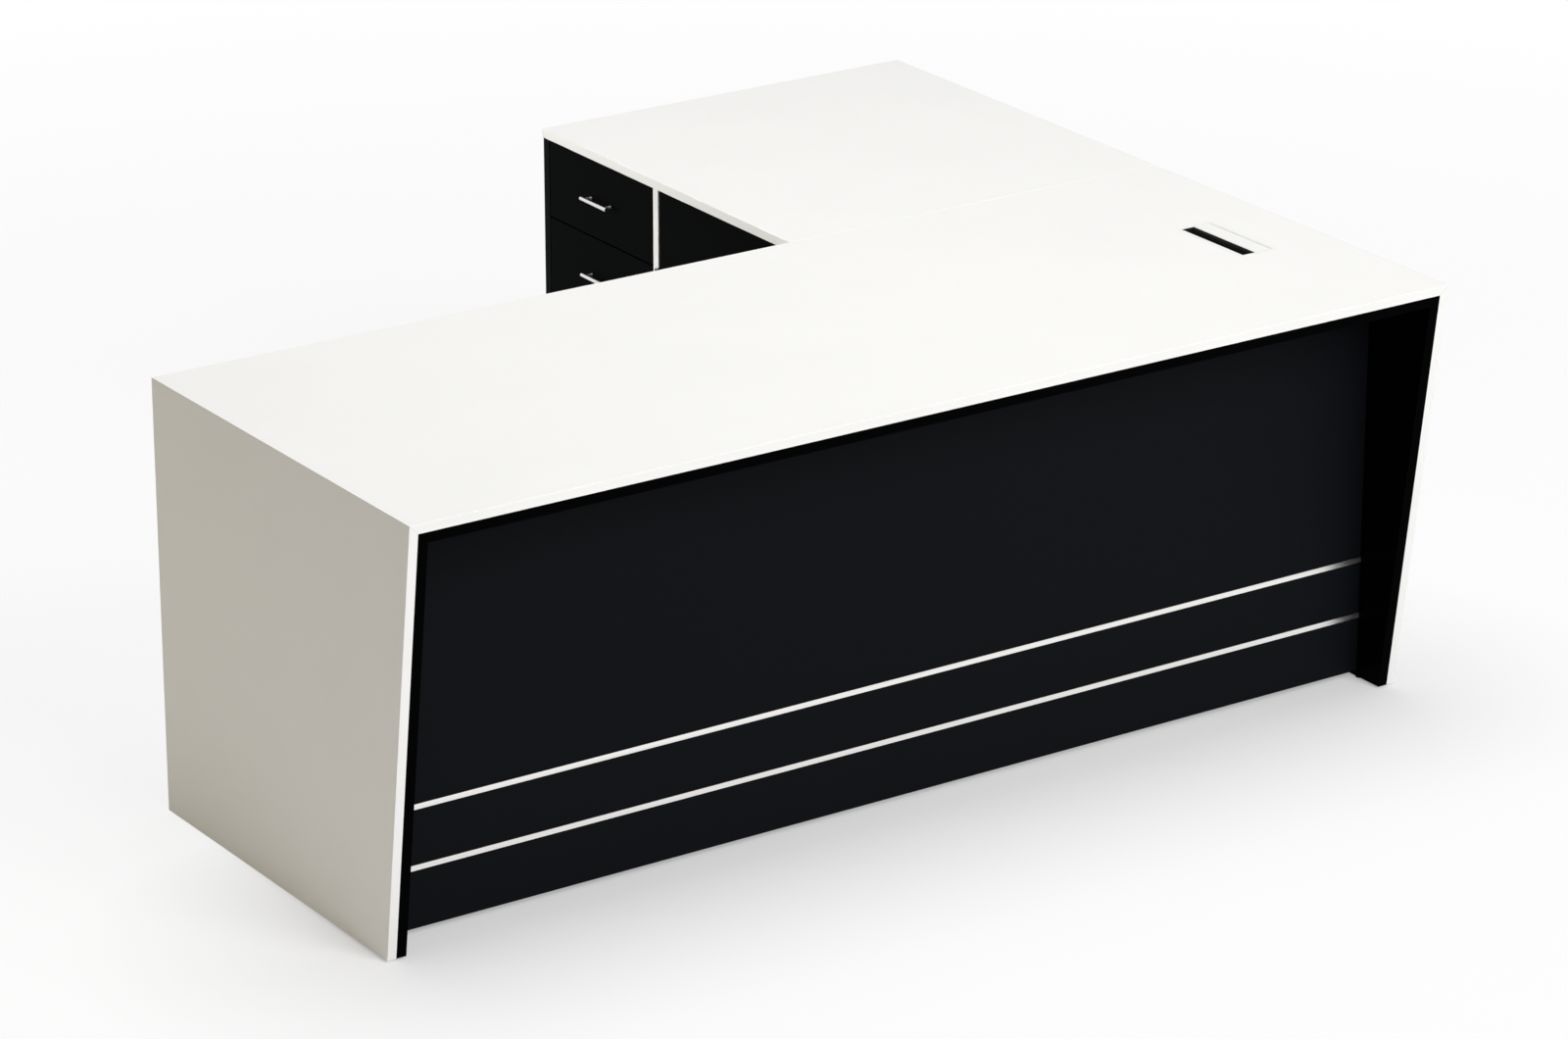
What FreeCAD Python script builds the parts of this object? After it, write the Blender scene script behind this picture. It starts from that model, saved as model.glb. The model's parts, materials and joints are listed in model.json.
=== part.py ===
import FreeCAD, Part
import os
import re

# Executive desk: a white mitred shell with black liners and a recessed black front panel,
# and behind its right end a white-topped return that holds a drawer stack and a door bay.
# The frame: X across the desk, -Y towards the visitor, Z up, origin on the floor at the centre.

SIZES = {
    # Overall sizes
    "desk_width": 2000,
    "desk_height": 750,
    "main_depth": 800,
    "return_length": 790,
    "return_depth": 778,
    # Boards
    "board": 16,
    "liner_board": 18,
    "arris": 0.8,
    "foot_setback": 100,
    "panel_recess": 160,
    "panel_floor_gap": 13,
    # Metal strips let into the front panel
    "strip_height": 9,
    "strip_face": 2,
    "strip_stem": 3,
    "strip_stem_depth": 8,
    "lower_strip_height": 116,
    "upper_strip_height": 218,
    # Return
    "front_reveal": 2,
    "front_gap": 3,
    "side_gap": 2,
    "front_floor_gap": 16.5,
    "divider_place": 420.5,
    "shelf_height": 380,
    "shelf_setback": 14,
    "shelf_play": 1,
    # Drawer boxes
    "box_length": 560,
    "box_rise": 28,
    "side_board": 15,
    "box_side_height": 95,
    "file_side_height": 220,
    "base_board": 4,
    "base_rise": 10,
    "base_groove": 6,
    "groove_play": 0.3,
    # Telescopic runners
    "runner_gap": 12.7,
    "runner_height": 45,
    "runner_length": 550,
    "runner_setback": 4,
    "runner_rise": 40,
    "runner_steel": 1.2,
    "runner_play": 0.3,
    "runner_lip": 1.5,
    # Bar handles
    "handle_length": 84,
    "handle_centres": 64,
    "handle_bar_radius": 3.5,
    "handle_post_radius": 3,
    "handle_stand": 16,
    "door_handle_edge": 45,
    "door_handle_drop": 134,
    "screw_radius": 2,
    "screw_head_radius": 4,
    "screw_head": 2.4,
    "screw_bite": 7,
    "screw_clearance": 0.2,
    # Door hinges
    "hinge_gap": 4,
    "leaf": 1.5,
    "leaf_width": 15,
    "leaf_height": 60,
    "knuckle_radius": 4,
    "knuckle_stand": 0.5,
    "knuckle_gap": 0.4,
    "hinge_pin_radius": 2,
    "hinge_pin_head_radius": 3.2,
    "hinge_pin_head": 1.2,
    "running_clearance": 0.05,
    "lower_hinge_height": 150,
    "upper_hinge_height": 560,
    # Cable port
    "port_from_right": 154,
    "port_from_front": 399,
    "port_length": 168,
    "port_width": 62,
    "port_wall": 2,
    "port_flange": 3,
    "port_flange_height": 2,
    "port_fit": 0.2,
    "port_tail": 2,
    "slot_width": 28,
    "lid_plate": 3,
    "lid_play": 0.4,
    "lid_rest": 0.3,
    "lid_barrel_radius": 2.5,
    "trunnion_radius": 1.6,
    "brush_height": 8,
    "brush_gap": 6,
    # Panel fittings
    "dowel_radius": 4,
    "dowel_length": 30,
    "dowel_bite": 11,
    "dowel_margin": 60,
    "dowel_spacing": 600,
    "fitting_clearance": 0.1,
    "hole_spare": 0.5,
    "cam_radius": 7.5,
    "cam_depth": 12.5,
    "cam_reach": 34,
    "cam_offset": 48,
    "bolt_radius": 3.5,
    "bolt_bite": 11,
    "floor_dowel_step": 60,
    "end_margin": 120,
    "joining_margin": 180,
    "joining_screw_radius": 2.5,
    "joining_screw_bite": 30,
    "joining_head_radius": 5,
    "joining_head": 3,
    "pin_radius": 2.5,
    "pin_bite": 9,
    "pin_reach": 11,
    "pin_plate": 3,
    "pin_margin": 90,
    # Glides
    "glide_height": 3,
    "glide_radius": 8,
    "glide_nail_radius": 1.5,
    "glide_nail": 14,
    "glide_margin": 60,
}

# Drawers from the top down: the modules that each front takes, and the height of its box's sides
DRAWERS = {
    "top_drawer": (1, "box_side_height"),
    "second_drawer": (1, "box_side_height"),
    "third_drawer": (1, "box_side_height"),
    "file_drawer": (2, "file_side_height"),
}
MODULES = sum(modules for modules, _ in DRAWERS.values())

# Planes of the desk, as expressions of the sheet's sizes
LEFT = "(-desk_width / 2)"
RIGHT = "(desk_width / 2)"
LEFT_LINER = f"({LEFT} + board)"
LEFT_INNER = f"({LEFT_LINER} + liner_board)"
RIGHT_LINER = f"({RIGHT} - board)"
RIGHT_INNER = f"({RIGHT_LINER} - liner_board)"
RETURN_LEFT = f"({RIGHT} - return_depth)"
FACE = f"({RETURN_LEFT} + front_reveal)"
FACE_BACK = f"({FACE} + liner_board)"
FRONT = "(-(main_depth + return_length) / 2)"
BACK = f"({FRONT} + main_depth)"
FAR = f"({BACK} + return_length)"
PANEL_FACE = f"({FRONT} + panel_recess)"
PANEL_MIDDLE = f"({PANEL_FACE} + liner_board / 2)"
PANEL_BACK = f"({PANEL_FACE} + liner_board)"
NEAR_INNER = f"({BACK} + liner_board)"
DIVIDER_NEAR = f"({BACK} + divider_place - board / 2)"
DIVIDER_FAR = f"({DIVIDER_NEAR} + board)"
FAR_INNER = f"({FAR} - liner_board)"
TOP = "desk_height"
UNDER_TOP = "(desk_height - board)"
UNDER_SUB = f"({UNDER_TOP} - liner_board)"
PITCH = f"(({UNDER_TOP} - front_floor_gap) / {MODULES})"

doc = FreeCAD.newDocument("executive_desk")
sheet = doc.addObject("Spreadsheet::Sheet", "sizes")
for row, (name, value) in enumerate(SIZES.items(), 1):
    sheet.set(f"A{row}", name)
    sheet.set(f"B{row}", str(value))
    sheet.setAlias(f"B{row}", name)
doc.recompute()

blanks = {}
cuts = {}
groups = {}


def bind(thing, prop, text):
    """Ties a property to the sheet: every word of the expression is a size's name."""
    thing.setExpression(prop, re.sub(r"[a-z][a-z_]*", lambda word: "sizes." + word.group(), text))


def place(thing, x, y, z, axis=FreeCAD.Vector(0, 0, 1), turn=0):
    thing.Placement = FreeCAD.Placement(FreeCAD.Vector(), FreeCAD.Rotation(axis, turn))
    for name, text in zip("xyz", (x, y, z)):
        bind(thing, f"Placement.Base.{name}", text)
    return thing


def block(name, x, y, z):
    """A box from its low and high planes along each axis."""
    thing = doc.addObject("Part::Box", name)
    for prop, (low, high) in zip(("Length", "Width", "Height"), (x, y, z)):
        bind(thing, prop, f"({high}) - ({low})")
    return place(thing, x[0], y[0], z[0])


def rod(name, radius, x, y, z):
    """A cylinder along the one axis that is given as a low and a high plane."""
    thing = doc.addObject("Part::Cylinder", name)
    bind(thing, "Radius", radius)
    spans = [x, y, z]
    along = next(index for index, span in enumerate(spans) if isinstance(span, tuple))
    low, high = spans[along]
    bind(thing, "Height", f"({high}) - ({low})")
    spans[along] = low
    axis, turn = (((0, 1, 0), 90), ((1, 0, 0), -90), ((0, 0, 1), 0))[along]
    return place(thing, *spans, FreeCAD.Vector(*axis), turn)


def frustum(name, props, axis, turn):
    thing = doc.addObject("Part::Wedge", name)
    for prop, text in props.items():
        bind(thing, prop, text)
    thing.Placement = FreeCAD.Placement(FreeCAD.Vector(), FreeCAD.Rotation(axis, turn))
    return thing


def taper_up(name, z, x_low, x_high, y_low, y_high):
    """A board whose X and Y spans run straight from those at the low plane to those at the high one."""
    props = {
        "Ymin": z[0], "Ymax": z[1],
        "Xmin": x_low[0], "Xmax": x_low[1], "X2min": x_high[0], "X2max": x_high[1],
        "Zmin": f"-({y_low[1]})", "Zmax": f"-({y_low[0]})",
        "Z2min": f"-({y_high[1]})", "Z2max": f"-({y_high[0]})",
    }
    return frustum(name, props, FreeCAD.Vector(1, 0, 0), 90)


def taper_across(name, x, y, z_low, z_high):
    """A board whose Z span runs straight from that at the low X plane to that at the high one."""
    props = {
        "Ymin": x[0], "Ymax": x[1],
        "Xmin": f"-({y[1]})", "Xmax": f"-({y[0]})", "X2min": f"-({y[1]})", "X2max": f"-({y[0]})",
        "Zmin": z_low[0], "Zmax": z_low[1], "Z2min": z_high[0], "Z2max": z_high[1],
    }
    return frustum(name, props, FreeCAD.Vector(0, 0, 1), -90)


def fuse(name, things):
    if len(things) == 1:
        return things[0]
    whole = doc.addObject("Part::MultiFuse", name)
    whole.Shapes = things
    return whole


def cut(name, base, tools):
    whole = doc.addObject("Part::Cut", name)
    whole.Base = base
    whole.Tool = fuse(f"{name}_tools", tools)
    return whole


def common(name, first, second):
    whole = doc.addObject("Part::Common", name)
    whole.Base = first
    whole.Tool = second
    return whole


def board(label, x, y, z):
    blanks[label] = block(f"{label}_blank", x, y, z)


def drill(label, tool):
    cuts.setdefault(label, []).append(tool)


def add(label, solid):
    groups.setdefault(label, []).append(solid)


def ease(label, points):
    """Rounds the arrises of a blank that pass through the points."""
    marks = []
    for number, point in enumerate(points, 1):
        mark = doc.addObject("Part::Vertex", f"{label}_arris_{number}")
        for prop, text in zip("XYZ", point):
            bind(mark, prop, text)
        marks.append(mark)
    doc.recompute()
    near = sheet.arris / 100
    rounded = doc.addObject("Part::Fillet", f"{label}_eased")
    rounded.Base = blanks[label]
    rounded.Edges = [
        (number, sheet.arris, sheet.arris)
        for number, edge in enumerate(blanks[label].Shape.Edges, 1)
        if any(edge.distToShape(mark.Shape)[0] < near for mark in marks)
    ]
    blanks[label] = rounded


def halfway(span):
    return f"(({span[0]} + {span[1]}) / 2)"


def ease_front(label, y, z):
    """Rounds the four arrises of the outer face of a door or drawer front."""
    ease(label, [(FACE, halfway(y), end) for end in z] + [(FACE, end, halfway(z)) for end in y])


def slope(height):
    """How far the slanted front edge stands behind the top's front edge at a height."""
    return f"(foot_setback * (1 - ({height}) / desk_height))"


def slanted_board(name, x, low, high):
    return taper_up(
        name, (low, high), x, x, (f"{FRONT} + {slope(low)}", BACK), (f"{FRONT} + {slope(high)}", BACK)
    )


# White shell: a top and two ends, mitred, with the front edges on one slanted plane

blanks["main_top"] = taper_up(
    "main_top_blank", (UNDER_TOP, TOP), (LEFT_LINER, RIGHT_LINER), (LEFT, RIGHT),
    (f"{FRONT} + {slope(UNDER_TOP)}", BACK), (FRONT, BACK),
)
for label, x, z_low, z_high in (
    ("left_end_panel", (LEFT, LEFT_LINER), TOP, UNDER_TOP),
    ("right_end_panel", (RIGHT_LINER, RIGHT), UNDER_TOP, TOP),
):
    slanted = slanted_board(f"{label}_slant", x, "glide_height", TOP)
    mitred = taper_across(
        f"{label}_mitre", x, (FRONT, BACK), ("glide_height", z_low), ("glide_height", z_high)
    )
    blanks[label] = common(f"{label}_blank", slanted, mitred)
SHELL_Z = halfway(("glide_height", UNDER_TOP))
ease("main_top", [("0", FRONT, TOP), ("0", BACK, TOP)])
for label, x in (("left_end_panel", LEFT), ("right_end_panel", RIGHT)):
    ease(label, [(x, f"{FRONT} + {slope(SHELL_Z)}", SHELL_Z), (x, BACK, SHELL_Z)])

# Black lining inside the shell

for label, x in (("left_liner", (LEFT_LINER, LEFT_INNER)), ("right_liner", (RIGHT_INNER, RIGHT_LINER))):
    blanks[label] = slanted_board(f"{label}_blank", x, "glide_height", UNDER_TOP)
blanks["sub_top"] = slanted_board("sub_top_blank", (LEFT_INNER, RIGHT_INNER), UNDER_SUB, UNDER_TOP)

# Front panel with two T-shaped metal strips pressed into grooves

board("front_panel", (LEFT_INNER, RIGHT_INNER), (PANEL_FACE, PANEL_BACK), ("panel_floor_gap", UNDER_SUB))
for label, middle in (
    ("lower_trim_strip", "lower_strip_height"),
    ("upper_trim_strip", "upper_strip_height"),
):
    strip_x = (LEFT_INNER, RIGHT_INNER)
    face = block(
        f"{label}_face", strip_x, (f"{PANEL_FACE} - strip_face", PANEL_FACE),
        (f"{middle} - strip_height / 2", f"{middle} + strip_height / 2"),
    )
    stem = block(
        f"{label}_stem", strip_x, (PANEL_FACE, f"{PANEL_FACE} + strip_stem_depth"),
        (f"{middle} - strip_stem / 2", f"{middle} + strip_stem / 2"),
    )
    blanks[label] = fuse(f"{label}_blank", [face, stem])
    half_groove = "(strip_stem / 2 + fitting_clearance)"
    drill("front_panel", block(
        f"{label}_groove", strip_x, (PANEL_FACE, f"{PANEL_FACE} + strip_stem_depth + hole_spare"),
        (f"{middle} - {half_groove}", f"{middle} + {half_groove}"),
    ))

# Return: a white top and outer side, mitred, over black sides and a white divider

blanks["return_top"] = taper_up(
    "return_top_blank", (UNDER_TOP, TOP), (RETURN_LEFT, RIGHT_LINER), (RETURN_LEFT, RIGHT),
    (BACK, FAR), (BACK, FAR),
)
blanks["return_outer_panel"] = taper_across(
    "return_outer_panel_blank", (RIGHT_LINER, RIGHT), (BACK, FAR),
    ("glide_height", UNDER_TOP), ("glide_height", TOP),
)
RETURN_Y = halfway((BACK, FAR))
RETURN_X = halfway((RETURN_LEFT, RIGHT_LINER))
ease("return_top", [(RETURN_LEFT, RETURN_Y, TOP), (RETURN_X, BACK, TOP), (RETURN_X, FAR, TOP)])
ease("return_outer_panel", [(RIGHT, BACK, SHELL_Z), (RIGHT, FAR, SHELL_Z)])
UPRIGHTS = {
    "return_near_panel": (BACK, NEAR_INNER),
    "return_divider": (DIVIDER_NEAR, DIVIDER_FAR),
    "return_far_panel": (FAR_INNER, FAR),
}
for label, y in UPRIGHTS.items():
    board(label, (FACE, RIGHT_LINER), y, ("glide_height", UNDER_TOP))
FLOOR_X = (f"{FACE_BACK} + side_gap", RIGHT_LINER)
FLOOR_Z = ("front_floor_gap", "front_floor_gap + liner_board")
FLOOR_MIDDLE = "(front_floor_gap + liner_board / 2)"
board("door_bay_floor", FLOOR_X, (NEAR_INNER, DIVIDER_NEAR), FLOOR_Z)
board("drawer_bay_floor", FLOOR_X, (DIVIDER_FAR, FAR_INNER), FLOOR_Z)
SHELF_X = (f"{FACE_BACK} + shelf_setback", f"{RIGHT_LINER} - shelf_setback")
board(
    "shelf", SHELF_X, (f"{NEAR_INNER} + shelf_play", f"{DIVIDER_NEAR} - shelf_play"),
    ("shelf_height", "shelf_height + board"),
)


# Bar handle with its two screws from behind the front that it is on

def handle(label, front, y, z, upright):
    """A bar on two posts, level or upright, about a point of the front's face."""
    axis_x = f"({FACE} - handle_stand)"
    half = "handle_length / 2"
    bar_y = y if upright else (f"{y} - {half}", f"{y} + {half}")
    bar_z = (f"{z} - {half}", f"{z} + {half}") if upright else z
    solids = [rod(f"{label}_bar", "handle_bar_radius", axis_x, bar_y, bar_z)]
    bores = []
    for number, sign in enumerate("-+", 1):
        post_y = y if upright else f"{y} {sign} handle_centres / 2"
        post_z = f"{z} {sign} handle_centres / 2" if upright else z
        spot = f"{label}_{number}"
        solids.append(rod(f"{spot}_post", "handle_post_radius", (axis_x, FACE), post_y, post_z))
        hole = "screw_radius + screw_clearance"
        tip = f"{FACE} - screw_bite"
        bores.append(rod(f"{spot}_bore", hole, (f"{tip} - hole_spare", FACE), post_y, post_z))
        drill(front, rod(f"{spot}_hole", hole, (FACE, FACE_BACK), post_y, post_z))
        shank = rod(f"{spot}_shank", "screw_radius", (tip, FACE_BACK), post_y, post_z)
        head_x = (FACE_BACK, f"{FACE_BACK} + screw_head")
        head = rod(f"{spot}_head", "screw_head_radius", head_x, post_y, post_z)
        add(label, fuse(f"{spot}_screw", [shank, head]))
    add(label, cut(f"{label}_body", fuse(f"{label}_solid", solids), bores))


# Drawers on telescopic runners of three nested channels

DRAWER_MIDDLE = halfway((DIVIDER_FAR, FAR_INNER))
RUNNER_START = f"({FACE_BACK} + runner_setback)"
RUNNER_X = (RUNNER_START, f"{RUNNER_START} + runner_length")
STEP = "(runner_steel + runner_play)"


def channel(name, wall, sign, shallow, deep, half, opens_in):
    """A channel between two depths from a bay's wall, open away from the wall or towards it."""
    def span(first, last):
        planes = (f"{wall} {sign} ({first})", f"{wall} {sign} ({last})")
        return planes if sign == "+" else planes[::-1]
    z, height = half
    outer = block(f"{name}_outer", RUNNER_X, span(shallow, deep), (f"{z} - {height}", f"{z} + {height}"))
    inner_y = span(f"{shallow} + runner_steel", deep) if opens_in else span(shallow, f"{deep} - runner_steel")
    hollow = (f"{z} - ({height} - runner_steel)", f"{z} + ({height} - runner_steel)")
    return cut(name, outer, [block(f"{name}_hollow", RUNNER_X, inner_y, hollow)])


modules_above = 0
for drawer, (modules, side_height) in DRAWERS.items():
    top = f"({UNDER_TOP} - front_gap - {modules_above} * {PITCH})"
    modules_above += modules
    bottom = f"({UNDER_TOP} - {modules_above} * {PITCH})"
    box_low = f"({bottom} + box_rise)"
    box_high = f"({box_low} + {side_height})"
    box_x = (FACE_BACK, f"{FACE_BACK} + box_length")
    near_y = f"({DIVIDER_FAR} + runner_gap)"
    far_y = f"({FAR_INNER} - runner_gap)"
    base_low = f"({box_low} + base_rise)"
    front_y = (f"{DIVIDER_FAR} + side_gap", f"{FAR_INNER} - side_gap")
    board(f"{drawer}_front", (FACE, FACE_BACK), front_y, (bottom, top))
    ease_front(f"{drawer}_front", front_y, (bottom, top))
    handle(f"{drawer}_handle", f"{drawer}_front", DRAWER_MIDDLE, halfway((bottom, top)), False)

    groove_z = (base_low, f"{base_low} + base_board + groove_play")
    near_inner = f"({near_y} + side_board)"
    far_inner = f"({far_y} - side_board)"
    sides = f"{drawer}_sides"
    for side, y, groove_y in (
        ("near", (near_y, near_inner), (f"{near_inner} - base_groove", near_inner)),
        ("far", (far_inner, far_y), (far_inner, f"{far_inner} + base_groove")),
    ):
        plain = block(f"{sides}_{side}_plain", box_x, y, (box_low, box_high))
        groove = block(f"{sides}_{side}_groove", box_x, groove_y, groove_z)
        add(sides, cut(f"{sides}_{side}", plain, [groove]))
    into_groove = "(base_groove - groove_play)"
    base_y = (f"{near_inner} - {into_groove}", f"{far_inner} + {into_groove}")
    board(f"{drawer}_base", box_x, base_y, (base_low, f"{base_low} + base_board"))
    back_x = (f"{FACE_BACK} + box_length - side_board", f"{FACE_BACK} + box_length")
    board(f"{drawer}_back", back_x, (near_inner, far_inner), (f"{base_low} + base_board", box_high))

    runner_z = f"({box_low} + runner_rise)"
    for side, wall, sign in (("near", DIVIDER_FAR, "+"), ("far", FAR_INNER, "-")):
        spot = f"{drawer}_{side}"
        add("runner_cabinet_members", channel(
            f"{spot}_cabinet", wall, sign, "0", "runner_gap - 2 * runner_lip",
            (runner_z, "(runner_height / 2)"), True,
        ))
        add(f"{drawer}_runner_middle_members", channel(
            f"{spot}_middle", wall, sign, STEP, "runner_gap - runner_lip",
            (runner_z, f"(runner_height / 2 - {STEP})"), True,
        ))
        add(f"{drawer}_runner_members", channel(
            f"{spot}_runner", wall, sign, f"2 * {STEP}", "runner_gap",
            (runner_z, f"(runner_height / 2 - 2 * {STEP})"), False,
        ))

# Door, hung on the divider by two butt hinges whose knuckles stand in front of the faces

DOOR_FREE = f"({NEAR_INNER} + side_gap)"
DOOR_HUNG = f"({DIVIDER_NEAR} - hinge_gap)"
DOOR_Z = ("front_floor_gap", f"{UNDER_TOP} - front_gap")
board("door", (FACE, FACE_BACK), (DOOR_FREE, DOOR_HUNG), DOOR_Z)
ease_front("door", (DOOR_FREE, DOOR_HUNG), DOOR_Z)
handle("door_handle", "door", f"({DOOR_FREE} + door_handle_edge)", f"({UNDER_TOP} - door_handle_drop)", True)
PIVOT_X = f"({FACE} - knuckle_stand - knuckle_radius)"
PIVOT_Y = f"({DIVIDER_NEAR} - hinge_gap / 2)"
KNUCKLE = "(leaf_height / 3)"


def hinge_leaf(name, y, z, segments):
    """A leaf plate with the knuckles that it carries, bored for the pin."""
    low = f"({z} - leaf_height / 2)"
    plate = block(f"{name}_plate", (FACE, f"{FACE} + leaf_width"), y, (low, f"{low} + leaf_height"))
    solids = [plate]
    for segment in segments:
        start = f"({low} + {segment} * {KNUCKLE})"
        span = (f"{start} + knuckle_gap / 2", f"{start} + {KNUCKLE} - knuckle_gap / 2")
        solids.append(rod(f"{name}_knuckle_{segment}", "knuckle_radius", PIVOT_X, PIVOT_Y, span))
        solids.append(block(f"{name}_tab_{segment}", (PIVOT_X, FACE), y, span))
    bore_z = (low, f"{low} + leaf_height")
    bore = rod(f"{name}_bore", "hinge_pin_radius + running_clearance", PIVOT_X, PIVOT_Y, bore_z)
    return cut(name, fuse(f"{name}_solid", solids), [bore])


for number, z in enumerate(("lower_hinge_height", "upper_hinge_height"), 1):
    fixed_y = (f"{DIVIDER_NEAR} - leaf", DIVIDER_NEAR)
    moving_y = (DOOR_HUNG, f"{DOOR_HUNG} + leaf")
    add("hinge_fixed_leaves", hinge_leaf(f"fixed_leaf_{number}", fixed_y, z, (0, 2)))
    add("hinge_door_leaves", hinge_leaf(f"door_leaf_{number}", moving_y, z, (1,)))
    pin_top = f"({z} + leaf_height / 2 - knuckle_gap / 2)"
    pin_z = (f"{z} - leaf_height / 2", pin_top)
    pin = rod(f"hinge_pin_{number}_shank", "hinge_pin_radius", PIVOT_X, PIVOT_Y, pin_z)
    head_z = (pin_top, f"{pin_top} + hinge_pin_head")
    head = rod(f"hinge_pin_{number}_head", "hinge_pin_head_radius", PIVOT_X, PIVOT_Y, head_z)
    add("hinge_pins", fuse(f"hinge_pin_{number}", [pin, head]))

# Cable port let flush into the top: a flanged sleeve with a brush slot and a hinged lid beside it

PORT_X = f"({RIGHT} - port_from_right)"
PORT_Y = f"({FRONT} + port_from_front)"
PORT_LOW = f"({PORT_X} - port_width / 2)"
PORT_HIGH = f"({PORT_X} + port_width / 2)"
SLOT_EDGE = f"({PORT_LOW} + slot_width)"
RIM_LOW = f"({TOP} - port_flange_height)"
PORT_BOTTOM = f"({UNDER_SUB} - port_tail)"
LID_BOTTOM = f"({TOP} - lid_plate)"
LID_REST = f"({LID_BOTTOM} - lid_rest)"
LID_AXIS_X = f"({PORT_HIGH} - lid_play - lid_barrel_radius)"
LID_AXIS_Z = f"({TOP} - lid_barrel_radius)"


def port_block(name, margin, z):
    """A block about the port's middle that is larger than its opening by a margin all round."""
    half_length = f"(port_length / 2 + {margin})"
    return block(
        name, (f"{PORT_LOW} - ({margin})", f"{PORT_HIGH} + ({margin})"),
        (f"{PORT_Y} - {half_length}", f"{PORT_Y} + {half_length}"), z,
    )


def lid_span(margin):
    return (f"{PORT_Y} - port_length / 2 + {margin}", f"{PORT_Y} + port_length / 2 - {margin}")


sleeve = fuse("port_outside", [
    port_block("port_sleeve", "port_wall", (PORT_BOTTOM, TOP)),
    port_block("port_rim", "port_wall + port_flange", (RIM_LOW, TOP)),
])
trunnion_y = lid_span("(-(port_wall - lid_play))")
hollow = port_block("port_hollow", "0", (PORT_BOTTOM, TOP))
pivot_bore = rod(
    "port_pivot_bore", "trunnion_radius + running_clearance",
    LID_AXIS_X, lid_span("(-port_wall)"), LID_AXIS_Z,
)
ledge = block(
    "port_ledge", (f"{SLOT_EDGE} - port_wall", SLOT_EDGE), lid_span("0"),
    (f"{LID_REST} - brush_height", LID_REST),
)
shell = cut("port_shell", sleeve, [hollow, pivot_bore])
blanks["cable_port_frame"] = fuse("cable_port_frame_blank", [shell, ledge])
for label in ("main_top", "sub_top"):
    drill(label, port_block(f"{label}_port", "port_wall + port_fit", (PORT_BOTTOM, TOP)))
drill("main_top", port_block("main_top_rebate", "port_wall + port_flange + port_fit", (RIM_LOW, TOP)))
lid_plate = block(
    "lid_plate", (f"{SLOT_EDGE} - port_wall + lid_play", LID_AXIS_X), lid_span("lid_play"),
    (LID_BOTTOM, TOP),
)
barrel = rod("lid_barrel", "lid_barrel_radius", LID_AXIS_X, lid_span("lid_play"), LID_AXIS_Z)
trunnions = rod("lid_trunnions", "trunnion_radius", LID_AXIS_X, trunnion_y, LID_AXIS_Z)
blanks["cable_port_lid"] = fuse("cable_port_lid_blank", [lid_plate, barrel, trunnions])
bristles = "((slot_width - port_wall - brush_gap) / 2)"
brush_z = (f"{LID_REST} - brush_height", LID_REST)
for side, x in (
    ("left", (PORT_LOW, f"{PORT_LOW} + {bristles}")),
    ("right", (f"{SLOT_EDGE} - port_wall - {bristles}", f"{SLOT_EDGE} - port_wall")),
):
    add("cable_port_brush", block(f"brush_{side}", x, lid_span("0"), brush_z))


# Dowels, cam fittings, joining screws and shelf pins, each with the holes that take it

def across(plane, sign, into_face, into_edge):
    """The span about a joint's plane from a depth in the face, on the sign's side, to one in the edge."""
    other = "-" if sign == "+" else "+"
    ends = (f"{plane} {sign} ({into_face})", f"{plane} {other} ({into_edge})")
    return ends if sign == "-" else ends[::-1]


def dowel(name, plane, sign, x, y, z, face_board, edge_board):
    """A dowel from the face of one board into the edge of another, along the axis given as None."""
    def spots(into_face, into_edge):
        span = across(plane, sign, into_face, into_edge)
        return [span if spot is None else spot for spot in (x, y, z)]
    tail = "dowel_length - dowel_bite"
    hole = "dowel_radius + fitting_clearance"
    add("dowels", rod(name, "dowel_radius", *spots("dowel_bite", tail)))
    drill(face_board, rod(f"{name}_face_hole", hole, *spots("dowel_bite", "0")))
    drill(edge_board, rod(f"{name}_edge_hole", hole, *spots("0", f"{tail} + hole_spare")))


def cam(name, plane, sign, x, z, face_board):
    """A cam and its bolt that draw the front panel's edge onto a board, along the axis given as None."""
    def spots(into_face, into_edge):
        span = across(plane, sign, into_face, into_edge)
        return [span if spot is None else spot for spot in (x, PANEL_MIDDLE, z)]
    hole = "bolt_radius + fitting_clearance"
    bolt_end = "cam_reach - cam_radius - hole_spare"
    add("cam_bolts", rod(f"{name}_bolt", "bolt_radius", *spots("bolt_bite", bolt_end)))
    drill(face_board, rod(f"{name}_face_hole", hole, *spots("bolt_bite", "0")))
    drill("front_panel", rod(f"{name}_edge_hole", hole, *spots("0", "cam_reach")))
    middle = f"{plane} {'-' if sign == '+' else '+'} cam_reach"
    cam_x = middle if x is None else x
    cam_z = middle if z is None else z
    cam_y = (f"{PANEL_BACK} - cam_depth", PANEL_BACK)
    add("cam_locks", rod(f"{name}_cam", "cam_radius", cam_x, cam_y, cam_z))
    drill("front_panel", rod(f"{name}_pocket", "cam_radius + fitting_clearance", cam_x, cam_y, cam_z))


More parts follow.
